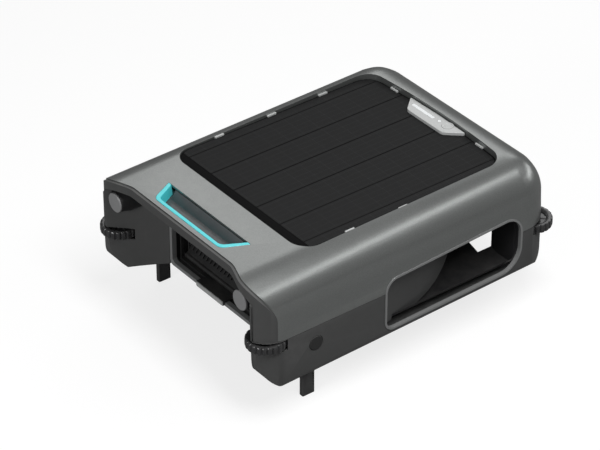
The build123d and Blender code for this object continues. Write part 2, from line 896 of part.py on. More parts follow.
def guide_vane():
    # a curved wall from the window's front edge to the duct's middle, with a swept free edge
    start_x = duct_outer - 1.2
    with BuildPart() as wall:
        with BuildSketch(Plane.XY.offset(floor_z - 11.5 + duct_wall + 0.3)):
            with BuildLine():
                outer = Spline(
                    (start_x, duct_front + 3.2),
                    (start_x - 19, duct_front + 108),
                    (start_x - 50, duct_front + 178),
                    tangents=[(-0.35, 1), (-0.5, 1)],
                )
                end = Line(outer @ 1, (start_x - 50 - vane_wall, duct_front + 178))
                inner = Spline(
                    end @ 1,
                    (start_x - 19 - vane_wall, duct_front + 108),
                    (start_x - vane_wall - 2, duct_front + 3.2),
                    tangents=[(0.5, -1), (0.35, -1)],
                )
                Line(inner @ 1, outer @ 0)
            make_face()
        extrude(amount=duct_top - duct_wall - 0.3 - (floor_z - 11.5 + duct_wall + 0.3))
        # the free edge sweeps back as it rises
        with BuildSketch(Plane.YZ.offset(duct_inner)):
            with BuildLine():
                sweep_up = Spline(
                    (window_front + 14, floor_z - 14),
                    (window_front + 92, floor_z + 0.5),
                    (window_front + 135, floor_z + 27),
                    (window_front + 160, duct_top + 6),
                )
                corner = Line(sweep_up @ 1, (duct_front - 20, duct_top + 6))
                fore = Line(corner @ 1, (duct_front - 20, floor_z - 14))
                Line(fore @ 1, sweep_up @ 0)
            make_face()
        extrude(amount=duct_outer, mode=Mode.INTERSECT)
        add(duct_clear, mode=Mode.INTERSECT)
    return wall.part


with BuildPart() as duct_hollow:
    with BuildSketch(Plane.XZ.offset(-duct_rear)):
        add(duct_sketch(duct_wall + 0.3))
    extrude(amount=duct_rear - duct_front)
    with BuildSketch(Plane.YZ.offset(duct_outer + 1)):
        add(window_sketch(-bezel_width - 0.4))
    extrude(amount=-7.5)
duct_clear = duct_hollow.part
handed(guide_vane, "guide_vane")

# ---------------------------------------------------------------- thrusters
stator_thick = 2.2
tube_rear = duct_front - 0.3
motor_front = tube_front + 2.0
motor_rear = motor_front + motor_length
prop_clear = 2.0


def thruster_tube():
    # a short tube with three stator fins that hold the motor in its middle
    with BuildPart() as tube:
        with BuildSketch(Plane.XZ.offset(-tube_rear)):
            with Locations((thruster_x, thruster_z)):
                Circle(tube_radius)
                Circle(tube_radius - tube_wall, mode=Mode.SUBTRACT)
        extrude(amount=tube_rear - tube_front)
        with BuildSketch(Plane.XZ.offset(-motor_rear + 4)):
            with Locations((thruster_x, thruster_z)):
                Circle(motor_radius + 2.4)
                with PolarLocations(0, 3, start_angle=90):
                    Rectangle(tube_radius - 1, stator_thick, align=(Align.MIN, Align.CENTER))
                Circle(motor_radius + 0.1, mode=Mode.SUBTRACT)
        extrude(amount=motor_length - 8)
    return tube.part


handed(thruster_tube, "thruster_tube")


def motor():
    with BuildPart() as can:
        with BuildSketch(Plane.XZ.offset(-motor_rear)):
            with Locations((thruster_x, thruster_z)):
                Circle(motor_radius)
        extrude(amount=motor_length)
        fillet(can.edges().filter_by(GeomType.CIRCLE), radius=1.5)
        with BuildSketch(Plane.XZ.offset(-motor_rear)):
            with Locations((thruster_x, thruster_z)):
                Circle(shaft_radius)
        extrude(amount=-16)
    return can.part


handed(motor, "thruster_motor")
prop_front = motor_rear + prop_clear
prop_length = 13.0
blade_count = 3
blade_pitch = 38.0


def propeller():
    with BuildPart() as screw:
        with BuildSketch(Plane.XZ.offset(-prop_front - prop_length)):
            with Locations((thruster_x, thruster_z)):
                Circle(prop_hub)
        extrude(amount=prop_length)
        fillet(screw.edges().sort_by(Axis.Y)[-1], radius=3)
        middle = Plane(
            origin=(thruster_x, prop_front + prop_length / 2, thruster_z),
            x_dir=(1, 0, 0),
            z_dir=(0, -1, 0),
        )
        with Locations(middle):
            with PolarLocations(prop_hub - 2, blade_count):
                with Locations(Rotation(blade_pitch, 0, 0)):
                    Box(prop_radius - prop_hub + 2, 14, 1.8, align=(Align.MIN, Align.CENTER, Align.CENTER))
        with BuildSketch(Plane.XZ.offset(-prop_front - 20)):
            with Locations((thruster_x, thruster_z)):
                Circle(prop_radius)
        extrude(amount=30, mode=Mode.INTERSECT)
        with BuildSketch(Plane.XZ.offset(-prop_front - 20)):
            with Locations((thruster_x, thruster_z)):
                Circle(shaft_bore)
        extrude(amount=30, mode=Mode.SUBTRACT)
    return screw.part


handed(propeller, "propeller")

# ---------------------------------------------------------------- bay liner, basket and flap
liner_wall = 2.2
liner_rear = basket_rear + 8.0
liner_top = 172.0
intake_front = -138.0
intake_rear = -109.0

with BuildPart() as bay_liner:
    liner_low = floor_z + hull_wall
    liner_mid = (mouth_y + frame_depth / 2 + 0.4 + liner_rear) / 2
    liner_length = liner_rear - (mouth_y + frame_depth / 2 + 0.4)
    with BuildSketch(Plane.XY.offset(liner_low)):
        with Locations((0, liner_mid)):
            Rectangle(2 * mouth_half + 2 * liner_wall, liner_length)
    extrude(amount=liner_top - liner_low)
    with BuildSketch(Plane.XY.offset(liner_low + 1.6)):
        with Locations((0, liner_mid - liner_wall)):
            Rectangle(2 * mouth_half, liner_length)
    extrude(amount=liner_top, mode=Mode.SUBTRACT)
    # ways out to the thrusters
    with BuildSketch(Plane.XZ.offset(-intake_rear)):
        with Locations((0, 118)):
            Rectangle(2 * duct_inner + 10, 50)
    extrude(amount=intake_rear - intake_front, mode=Mode.SUBTRACT)
save(bay_liner, "bay_liner")

# the basket's sides, back and floor are bars around windows that the mesh closes
window_count = 5
bar = 5.0
with BuildPart() as debris_basket:
    basket_length = basket_rear - basket_front
    with BuildSketch(Plane.XY.offset(basket_low)):
        with Locations((0, (basket_front + basket_rear) / 2)):
            Rectangle(2 * basket_half, basket_length)
    extrude(amount=basket_top - basket_low)
    with BuildSketch(Plane.XY.offset(basket_low + basket_wall)):
        with Locations((0, (basket_front + basket_rear - basket_wall) / 2)):
            Rectangle(2 * (basket_half - basket_wall), basket_length - basket_wall + 0.01)
    extrude(amount=high, mode=Mode.SUBTRACT)
    opening = (basket_length - bar) / window_count - bar
    side_mid = (basket_low + basket_wall + basket_top) / 2
    with BuildSketch(Plane.YZ.offset(-half_width)):
        with Locations(((basket_front + basket_rear) / 2, side_mid)):
            with GridLocations(opening + bar, 1, window_count, 1):
                RectangleRounded(opening, basket_top - basket_low - basket_wall - 2 * bar, 4)
    extrude(amount=2 * half_width, mode=Mode.SUBTRACT)
    with BuildSketch(Plane.XZ.offset(-basket_rear - 5)):
        with Locations((0, side_mid)):
            with GridLocations(57, 1, 3, 1):
                RectangleRounded(50, basket_top - basket_low - basket_wall - 2 * bar, 4)
    extrude(amount=10, mode=Mode.SUBTRACT)
    # handle bar and finger tab over the mouth's lower bar
    with BuildSketch(Plane.XZ.offset(-basket_front)):
        with Locations((0, basket_low + 1.3)):
            Rectangle(2 * 31, 2.6)
    extrude(amount=basket_front - (mouth_y - frame_depth / 2) + 2.8)
    with BuildSketch(Plane.XZ.offset(-mouth_y + frame_depth / 2 + 0.6)):
        with Locations((0, basket_low + 2.6)):
            RectangleRounded(2 * 31, 8, 2.5, align=(Align.CENTER, Align.MAX))
    extrude(amount=2.2)
save(debris_basket, "debris_basket")

mesh_thick = 0.8
with BuildPart() as basket_mesh:
    inner_half = basket_half - basket_wall - 0.05
    mesh_low = basket_low + basket_wall + 0.05
    mesh_rear = basket_rear - basket_wall - 0.05
    with BuildSketch(Plane.XY.offset(mesh_low)):
        with Locations((0, (basket_front + 12 + mesh_rear) / 2)):
            Rectangle(2 * inner_half, mesh_rear - basket_front - 12)
    extrude(amount=basket_top - mesh_low - 1)
    with BuildSketch(Plane.XY.offset(mesh_low + mesh_thick)):
        with Locations((0, (basket_front + 12 + mesh_rear) / 2 - mesh_thick)):
            Rectangle(2 * (inner_half - mesh_thick), mesh_rear - basket_front - 12)
    extrude(amount=high, mode=Mode.SUBTRACT)
save(basket_mesh, "basket_mesh")

# the comb flap leans back in the mouth; debris pushes it down and cannot float out again
flap_y = basket_front + 7.0
flap_z = basket_low + basket_wall + 4.6
flap_lean = 42.0            # degrees from upright
flap_length = 84.0
flap_half = basket_half - basket_wall - 2.6
flap_thick = 2.0
flap_barrel = 3.6
flap_pin_radius = 1.6
rib_pitch = 8.0
rib_height = 4.5
flap_plane = Plane(
    origin=(0, flap_y, flap_z),
    x_dir=(1, 0, 0),
    z_dir=(0, -cos(radians(flap_lean)), sin(radians(flap_lean))),
)
rib_count = int(2 * (flap_half - 6) / rib_pitch) + 1

with BuildPart() as debris_flap:
    with BuildSketch(flap_plane):
        with Locations((0, flap_length / 2 + 1)):
            Rectangle(2 * flap_half, flap_length - 2)
    extrude(amount=flap_thick)
    with BuildSketch(flap_plane.offset(flap_thick)):
        with Locations((0, flap_length / 2 + 4)):
            with GridLocations(rib_pitch, 1, rib_count, 1):
                Rectangle(1.6, flap_length - 12)
    extrude(amount=rib_height - flap_thick)
    with BuildSketch(Plane.YZ.offset(-flap_half)):
        with Locations((flap_y, flap_z)):
            Circle(flap_barrel)
    extrude(amount=2 * flap_half)
    with BuildSketch(Plane.YZ.offset(-half_width)):
        with Locations((flap_y, flap_z)):
            Circle(flap_pin_radius + 0.05)
    extrude(amount=2 * half_width, mode=Mode.SUBTRACT)
save(debris_flap, "debris_flap")

with BuildPart() as flap_pin:
    with BuildSketch(Plane.YZ.offset(-basket_half + basket_wall + 0.02)):
        with Locations((flap_y, flap_z)):
            Circle(flap_pin_radius)
    extrude(amount=2 * (basket_half - basket_wall - 0.02))
save(flap_pin, "flap_pin")

# ---------------------------------------------------------------- legs
tooth_pitch = 4.4
tooth_depth = 0.9
tooth_count = 18


def leg():
    # a flat bar with a ladder of catches on both broad sides
    with BuildPart() as bar_leg:
        with BuildSketch():
            with Locations((leg_x, leg_y)):
                RectangleRounded(leg_width, leg_length, 1.6)
        extrude(amount=leg_height)
        with BuildSketch(Plane.XZ.offset(-leg_y - 6)):
            for face in (-1, 1):
                with Locations((leg_x + face * leg_width / 2, 12 + tooth_pitch * tooth_count / 2)):
                    with GridLocations(1, tooth_pitch, 1, tooth_count):
                        Rectangle(2 * tooth_depth, 2.2)
        extrude(amount=-12, mode=Mode.SUBTRACT)
    return bar_leg.part


handed(leg, "leg")
socket_top = 104.0
inner_underbody = underbody(hull_wall + 0.02, 0)


def leg_socket():
    with BuildPart() as sleeve:
        with BuildSketch(Plane.XY.offset(low)):
            with Locations((leg_x, leg_y)):
                Rectangle(
                    leg_width + 2 * (leg_clear + socket_wall), leg_length + 2 * (leg_clear + socket_wall)
                )
                Rectangle(leg_width + 2 * leg_clear, leg_length + 2 * leg_clear, mode=Mode.SUBTRACT)
        extrude(amount=socket_top - low)
        add(inner_underbody, mode=Mode.INTERSECT)
    return sleeve.part


handed(leg_socket, "leg_socket")

# ---------------------------------------------------------------- charging port
plug_radius = 4.2
port_inner = leg_x + leg_width / 2 + leg_clear + socket_wall + 1.6
cap_thick = 3.2
cap_low = half_width - cap_thick + 0.7

with BuildPart() as charge_port:
    with BuildSketch(Plane.YZ.offset(port_inner)):
        with Locations((port_y, port_z)):
            Circle(9.5)
    extrude(amount=cap_low - 0.1 - port_inner)
    with BuildSketch(Plane.YZ.offset(half_width - hull_wall - 2)):
        with Locations((port_y, port_z)):
            Circle(port_radius + 3)
    extrude(amount=2)
    with BuildSketch(Plane.YZ.offset(half_width)):
        with Locations((port_y, port_z)):
            Circle(plug_radius + 0.3)
    extrude(amount=-(half_width - port_inner - 3), mode=Mode.SUBTRACT)
save(charge_port, "charge_port")

with BuildPart() as charge_cap:
    with BuildSketch(Plane.YZ.offset(cap_low)):
        with Locations((port_y, port_z)):
            Circle(port_radius - 0.2)
    extrude(amount=cap_thick)
    fillet(charge_cap.edges().sort_by(Axis.X)[-1], radius=1.0)
    with BuildSketch(Plane.YZ.offset(port_inner + 4)):
        with Locations((port_y, port_z)):
            Circle(plug_radius)
    extrude(amount=cap_low - port_inner - 4)
save(charge_cap, "charge_cap")

# ---------------------------------------------------------------- battery and electronics
case_half = 88.0
case_front = liner_rear + 6.0
case_rear = rear_post[1] - post_radius - 5.0
case_low = floor_z + hull_wall
case_top = 150.0
case_wall = 2.2
case_mid = (case_front + case_rear) / 2
case_length = case_rear - case_front
cell_radius = 9.2
cell_length = 65.0
cell_rows = 5
board_z = 124.0
board_thick = 1.6
board_half = case_half - case_wall - 3.0
standoff_x = board_half - 5
standoff_y = case_length / 2 - 9
standoff_spots = [(sx * standoff_x, case_mid + sy * standoff_y) for sx in (-1, 1) for sy in (-1, 1)]

with BuildPart() as battery_case:
    with BuildSketch(Plane.XY.offset(case_low)):
        with Locations((0, case_mid)):
            RectangleRounded(2 * case_half, case_length, 6)
    extrude(amount=case_top - case_low)
    with BuildSketch(Plane.XY.offset(case_low + case_wall)):
        with Locations((0, case_mid)):
            RectangleRounded(2 * (case_half - case_wall), case_length - 2 * case_wall, 4)
    extrude(amount=high, mode=Mode.SUBTRACT)
    with BuildSketch(Plane.XY.offset(case_low + 1)):
        with Locations(*standoff_spots):
            Circle(3)
    extrude(amount=board_z - case_low - 1)
save(battery_case, "battery_case")

with BuildPart() as battery_cells:
    with BuildSketch(Plane.YZ.offset(-cell_length - 1.5)):
        with Locations((case_mid, case_low + case_wall + cell_radius + 0.1)):
            with GridLocations(2 * cell_radius + 0.4, 1, cell_rows, 1):
                Circle(cell_radius)
    extrude(amount=cell_length)
    with BuildSketch(Plane.YZ.offset(1.5)):
        with Locations((case_mid, case_low + case_wall + cell_radius + 0.1)):
            with GridLocations(2 * cell_radius + 0.4, 1, cell_rows, 1):
                Circle(cell_radius)
    extrude(amount=cell_length)
save(battery_cells, "battery_cells")

with BuildPart() as circuit_board:
    with BuildSketch(Plane.XY.offset(board_z)):
        with Locations((0, case_mid)):
            RectangleRounded(2 * board_half, case_length - 2 * case_wall - 4, 2)
    extrude(amount=board_thick)
save(circuit_board, "circuit_board")

with BuildPart() as board_parts:
    board_top = board_z + board_thick
    for x, y, wide, long, tall in (
        (-50, 0, 24, 24, 2.4),
        (-8, -22, 16, 12, 5),
        (22, 14, 12, 12, 9),
        (52, -14, 20, 10, 7),
        (-20, 26, 30, 8, 6),
    ):
        with BuildSketch(Plane.XY.offset(board_top)):
            with Locations((x, case_mid + y)):
                Rectangle(wide, long)
        extrude(amount=tall)
save(board_parts, "board_parts")

with BuildPart() as case_lid:
    with BuildSketch(Plane.XY.offset(case_top)):
        with Locations((0, case_mid)):
            RectangleRounded(2 * case_half, case_length, 6)
    extrude(amount=2.6)
    lip_wide = 2 * (case_half - case_wall) - 0.6
    lip_long = case_length - 2 * case_wall - 0.6
    with BuildSketch(Plane.XY.offset(case_top - 3)):
        with Locations((0, case_mid)):
            RectangleRounded(lip_wide, lip_long, 4)
            RectangleRounded(lip_wide - 5.4, lip_long - 5.4, 3, mode=Mode.SUBTRACT)
    extrude(amount=3)
save(case_lid, "case_lid")

# ---------------------------------------------------------------- floats, seam gasket and screws
foam_low = duct_top + 0.3
foam_top = pan_floor_z - pan_wall - 0.3


def float_foam():
    with BuildPart() as foam:
        with BuildSketch(Plane.XY.offset(foam_low)):
            with Locations(((duct_inner + 5 + panel_half + 12) / 2, (duct_front + duct_rear) / 2)):
                RectangleRounded(panel_half + 12 - duct_inner - 5, duct_rear - duct_front - 30, 8)
        extrude(amount=foam_top - foam_low)
    return foam.part


handed(float_foam, "float_foam")

with BuildPart() as seam_gasket:
    add(underbody(0.9, 0))
    add(underbody(hull_wall - 0.5, 0), mode=Mode.SUBTRACT)
    with BuildSketch(Plane.XY.offset(parting_z - seam_gap / 2)):
        Rectangle(4 * half_width, 2 * reach)
    extrude(amount=seam_gap, mode=Mode.INTERSECT)
    add(bay_prism(cheek_wall + 0.4), mode=Mode.SUBTRACT)
    add(sockets, mode=Mode.SUBTRACT)
save(seam_gasket, "seam_gasket")

with BuildPart() as hull_screws:
    with BuildSketch(Plane.XY.offset(floor_z + 2 - screw_head_depth)):
        with Locations(*post_spots):
            Circle(screw_head)
            RegularPolygon(1.7, 6, mode=Mode.SUBTRACT)
    extrude(amount=screw_head_depth)
    with BuildSketch(Plane.XY.offset(floor_z + 1)):
        with Locations(*post_spots):
            Circle(screw_radius)
    extrude(amount=parting_z + 12 - floor_z)
save(hull_screws, "hull_screws")
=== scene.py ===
import json
import math

import bmesh
import bpy
from mathutils import Matrix, Vector


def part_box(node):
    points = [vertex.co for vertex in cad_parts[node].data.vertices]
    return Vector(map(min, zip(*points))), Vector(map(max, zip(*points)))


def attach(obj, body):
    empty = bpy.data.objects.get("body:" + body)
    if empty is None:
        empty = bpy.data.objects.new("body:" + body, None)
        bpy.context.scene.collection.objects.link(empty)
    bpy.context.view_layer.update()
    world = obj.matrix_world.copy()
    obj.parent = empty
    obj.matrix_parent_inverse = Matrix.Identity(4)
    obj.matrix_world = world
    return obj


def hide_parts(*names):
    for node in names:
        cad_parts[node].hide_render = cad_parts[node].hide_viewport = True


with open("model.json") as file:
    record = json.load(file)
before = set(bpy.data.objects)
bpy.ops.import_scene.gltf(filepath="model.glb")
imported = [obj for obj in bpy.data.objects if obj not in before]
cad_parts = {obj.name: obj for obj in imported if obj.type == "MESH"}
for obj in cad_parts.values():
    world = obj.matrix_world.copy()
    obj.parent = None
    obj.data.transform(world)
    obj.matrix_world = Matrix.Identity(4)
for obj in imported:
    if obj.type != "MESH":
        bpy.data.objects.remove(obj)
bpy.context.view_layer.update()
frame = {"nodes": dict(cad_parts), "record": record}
nodes = frame["nodes"]
bodyOf = {node: body for body, held in frame["record"]["behaviour"]["bodies"].items() for node in held}
print("frame loaded:", len(nodes), "nodes")


# small helpers for shader trees
def setSocket(tree, socket, value):
    # a socket takes a link or a plain value
    if isinstance(value, bpy.types.NodeSocket):
        tree.links.new(value, socket)
    else:
        socket.default_value = value


def addNode(tree, kind, links=None, **settings):
    node = tree.nodes.new(kind)
    for key, value in settings.items():
        setattr(node, key, value)
    for key, value in (links or {}).items():
        setSocket(tree, node.inputs[key], value)
    return node


def mathStep(tree, operation, first, second=0.5):
    return addNode(tree, "ShaderNodeMath", {0: first, 1: second}, operation=operation).outputs[0]


def times(tree, first, second):
    return mathStep(tree, "MULTIPLY", first, second)


def mixColors(tree, factor, first, second):
    links = {0: factor, 6: first, 7: second}  # the factor and the two colour sockets
    return addNode(tree, "ShaderNodeMix", links, data_type="RGBA").outputs[2]


def objectPlace(tree):
    return tree.nodes.new("ShaderNodeTexCoord").outputs["Object"]


def useGroup(tree, group, links):
    # places a shared effect in one material with that material's values
    return addNode(tree, "ShaderNodeGroup", links, node_tree=group).outputs


def rgba(color):
    return (color[0], color[1], color[2], 1.0)


def gray(tone):
    return (tone, tone, tone, 1.0)


def startGroup(name, inputs, outputs):
    group = bpy.data.node_groups.new(name, "ShaderNodeTree")
    for label, value in inputs.items():
        kind = "NodeSocketFloat" if isinstance(value, float) else "NodeSocketColor"
        group.interface.new_socket(label, in_out="INPUT", socket_type=kind).default_value = value
    for label in outputs:
        kind = "NodeSocketColor" if label == "Color" else "NodeSocketFloat"
        group.interface.new_socket(label, in_out="OUTPUT", socket_type=kind)
    return group, group.nodes.new("NodeGroupInput").outputs, group.nodes.new("NodeGroupOutput").inputs


def buildMouldGrain():
    # broad tone drift, fine mould grain and uneven gloss
    shares = dict(broad=0.6, patch=0.4, fleck=0.7)
    settings = {"Color": gray(0.5), "Drift": 0.1, "Grain Scale": 900.0, "Roughness": 0.5, "Spread": 0.1}
    group, given, out = startGroup("mouldGrain", settings, ("Color", "Roughness", "Height"))
    place = objectPlace(group)
    broad = addNode(group, "ShaderNodeTexNoise", {"Vector": place, "Scale": 6.0, "Detail": 3.0})
    patch = addNode(group, "ShaderNodeTexNoise", {
        "Vector": place, "Scale": 38.0, "Detail": 5.0, "Roughness": 0.65,
    })
    grain = addNode(group, "ShaderNodeTexNoise", {
        "Vector": place, "Scale": given["Grain Scale"], "Detail": 3.0,
    })
    broadPart = times(group, broad.outputs[0], shares["broad"])
    patchPart = times(group, patch.outputs[0], shares["patch"])
    swing = mathStep(group, "SUBTRACT", mathStep(group, "ADD", broadPart, patchPart), 0.5)
    tone = mathStep(group, "ADD", times(group, swing, given["Drift"]), 1.0)
    speck = mathStep(group, "SUBTRACT", grain.outputs[0], 0.5)
    fleck = times(group, speck, times(group, given["Drift"], shares["fleck"]))
    value = mathStep(group, "ADD", tone, fleck)
    shade = addNode(group, "ShaderNodeHueSaturation", {"Value": value, "Color": given["Color"]})
    group.links.new(shade.outputs[0], out["Color"])
    rough = mathStep(group, "ADD", given["Roughness"], times(group, swing, given["Spread"]))
    group.links.new(rough, out["Roughness"])
    group.links.new(grain.outputs[0], out["Height"])
    return group


def buildDustVeil():
    # a thin veil of dried dust on what faces up
    settings = {"Color": gray(0.5), "Dust Color": gray(0.5), "Amount": 0.1}
    group, given, out = startGroup("dustVeil", settings, ("Color", "Mask"))
    coords = group.nodes.new("ShaderNodeTexCoord").outputs
    up = addNode(group, "ShaderNodeSeparateXYZ", {0: coords["Normal"]}).outputs[2]
    facing = addNode(group, "ShaderNodeMapRange", {"Value": up, "From Min": 0.25, "From Max": 0.95})
    cloud = addNode(group, "ShaderNodeTexNoise", {
        "Vector": coords["Object"], "Scale": 24.0, "Detail": 7.0, "Roughness": 0.7,
    })
    spots = addNode(group, "ShaderNodeMapRange", {
        "Value": cloud.outputs[0], "From Min": 0.42, "From Max": 0.75,
    })
    mask = times(group, times(group, facing.outputs[0], spots.outputs[0]), given["Amount"])
    group.links.new(mixColors(group, mask, given["Color"], given["Dust Color"]), out["Color"])
    group.links.new(mask, out["Mask"])
    return group


def buildFlakes():
    # pearl flakes in a lacquer: tiny cells, each a little lighter or darker
    settings = {"Color": gray(0.5), "Scale": 1500.0, "Strength": 0.2}
    group, given, out = startGroup("lacquerFlakes", settings, ("Color", "Mask"))
    cells = addNode(group, "ShaderNodeTexVoronoi", {"Vector": objectPlace(group), "Scale": given["Scale"]})
    pick = addNode(group, "ShaderNodeSeparateColor", {0: cells.outputs["Color"]}).outputs[0]
    swing = times(group, mathStep(group, "SUBTRACT", pick, 0.5), given["Strength"])
    value = mathStep(group, "ADD", swing, 1.0)
    shade = addNode(group, "ShaderNodeHueSaturation", {"Value": value, "Color": given["Color"]})
    group.links.new(shade.outputs[0], out["Color"])
    group.links.new(pick, out["Mask"])
    return group


def buildEdgeHighlight():
    # painted highlight along convex edges: they are made lighter, broken up by noise
    settings = {"Color": gray(0.5), "Edge Color": gray(0.5), "Amount": 0.4}
    group, given, out = startGroup("edgeHighlight", settings, ("Color", "Mask"))
    bent = group.nodes.new("ShaderNodeNewGeometry").outputs["Pointiness"]
    edge = addNode(group, "ShaderNodeMapRange", {"Value": bent, "From Min": 0.51, "From Max": 0.6})
    place = objectPlace(group)
    broken = addNode(group, "ShaderNodeTexNoise", {"Vector": place, "Scale": 90.0, "Detail": 4.0})
    mask = times(group, times(group, edge.outputs[0], broken.outputs[0]), given["Amount"])
    group.links.new(mixColors(group, mask, given["Color"], given["Edge Color"]), out["Color"])
    group.links.new(mask, out["Mask"])
    return group


def buildDotField():
    # a lattice of small pressed dots, pitch in metres
    group, given, out = startGroup("dotField", {"Pitch": 0.0022, "Size": 0.3}, ("Height",))
    flat = {0: objectPlace(group), 1: (1.0, 1.0, 0.0)}
    steps = addNode(group, "ShaderNodeVectorMath", flat, operation="MULTIPLY").outputs[0]
    ratio = mathStep(group, "DIVIDE", 1.0, given["Pitch"])
    scaled = addNode(group, "ShaderNodeVectorMath", {0: steps, 3: ratio}, operation="SCALE").outputs[0]
    cell = addNode(group, "ShaderNodeVectorMath", {0: scaled}, operation="FRACTION").outputs[0]
    centred = {0: cell, 1: (0.5, 0.5, 0.0)}
    middle = addNode(group, "ShaderNodeVectorMath", centred, operation="SUBTRACT").outputs[0]
    away = addNode(group, "ShaderNodeVectorMath", {0: middle}, operation="LENGTH").outputs["Value"]
    near = addNode(group, "ShaderNodeMapRange", {"Value": away, "From Min": given["Size"], "From Max": 0.08})
    group.links.new(near.outputs[0], out["Height"])
    return group


def buildFineLines():
    # faint lines across X and across Y, each with its own pitch
    settings = {"Pitch X": 0.01, "Pitch Y": 0.01, "Offset X": 0.0, "Offset Y": 0.0, "Width": 0.0004}
    group, given, out = startGroup("fineLines", settings, ("Mask",))
    parts = addNode(group, "ShaderNodeSeparateXYZ", {0: objectPlace(group)}).outputs
    masks = []
    for axis, label in enumerate("XY"):
        moved = mathStep(group, "ADD", parts[axis], given["Offset " + label])
        wave = mathStep(group, "PINGPONG", moved, times(group, given["Pitch " + label], 0.5))
        masks.append(mathStep(group, "LESS_THAN", wave, given["Width"]))
    group.links.new(mathStep(group, "MAXIMUM", masks[0], masks[1]), out["Mask"])
    return group


mouldGrain = buildMouldGrain()
dustVeil = buildDustVeil()
lacquerFlakes = buildFlakes()
edgeHighlight = buildEdgeHighlight()
dotField = buildDotField()
fineLines = buildFineLines()
print("shared effects built")

# sockets of the shader that a finish may set, and their values when it doesn't
plainSockets = {
    "metallic": ("Metallic", 0.0), "coat": ("Coat Weight", 0.0), "coatRoughness": ("Coat Roughness", 0.2),
    "ior": ("IOR", 1.46), "specular": ("Specular IOR Level", 0.5),
    "transmission": ("Transmission Weight", 0.0),
}
dustColor = (0.32, 0.31, 0.29)
dots = dict(color=(0.09, 0.09, 0.09), size=0.34, grainShare=0.35)  # size is a share of the pitch


def finish(name, look):
    # one moulded, lacquered or rubber finish from its dictionary
    material = bpy.data.materials.new(name)
    material.use_nodes = True
    tree = material.node_tree
    shader = tree.nodes["Principled BSDF"].inputs
    for key, (socketName, usual) in plainSockets.items():
        shader[socketName].default_value = look.get(key, usual)
    color = rgba(look["color"])
    if "flakes" in look:
        color = useGroup(tree, lacquerFlakes, {
            "Color": color, "Scale": look.get("flakeScale", 1500.0), "Strength": look["flakes"],
        })["Color"]
    base = useGroup(tree, mouldGrain, {
        "Color": color, "Drift": look["drift"], "Grain Scale": look.get("grainScale", 900.0),
        "Roughness": look["roughness"], "Spread": look["spread"],
    })
    color = base["Color"]
    # painted highlight: convex edges lighter in the edge colour
    if "highlight" in look:
        highlight = {"Color": color, "Edge Color": rgba(look["highlightColor"]), "Amount": look["highlight"]}
        color = useGroup(tree, edgeHighlight, highlight)["Color"]
    if "dust" in look:
        dust = {"Color": color, "Dust Color": rgba(dustColor), "Amount": look["dust"]}
        color = useGroup(tree, dustVeil, dust)["Color"]
    height = base["Height"]
    if "dots" in look:
        bumps = useGroup(tree, dotField, {"Pitch": look["dots"], "Size": dots["size"]})["Height"]
        height = mathStep(tree, "ADD", times(tree, height, dots["grainShare"]), bumps)
        color = mixColors(tree, times(tree, bumps, look["dotTint"]), color, rgba(dots["color"]))
    if "lines" in look:
        lines = look["lines"]
        mask = useGroup(tree, fineLines, {
            "Pitch X": lines["pitchX"], "Pitch Y": lines["pitchY"], "Offset X": lines["offsetX"],
            "Offset Y": lines["offsetY"], "Width": lines["width"],
        })["Mask"]
        color = mixColors(tree, times(tree, mask, lines["strength"]), color, rgba(lines["color"]))
    bump = addNode(tree, "ShaderNodeBump", {
        "Height": height, "Strength": look["grain"], "Distance": look.get("grainDepth", 0.0004),
    })
    tree.links.new(color, shader["Base Color"])
    tree.links.new(base["Roughness"], shader["Roughness"])
    tree.links.new(bump.outputs[0], shader["Normal"])
    return material


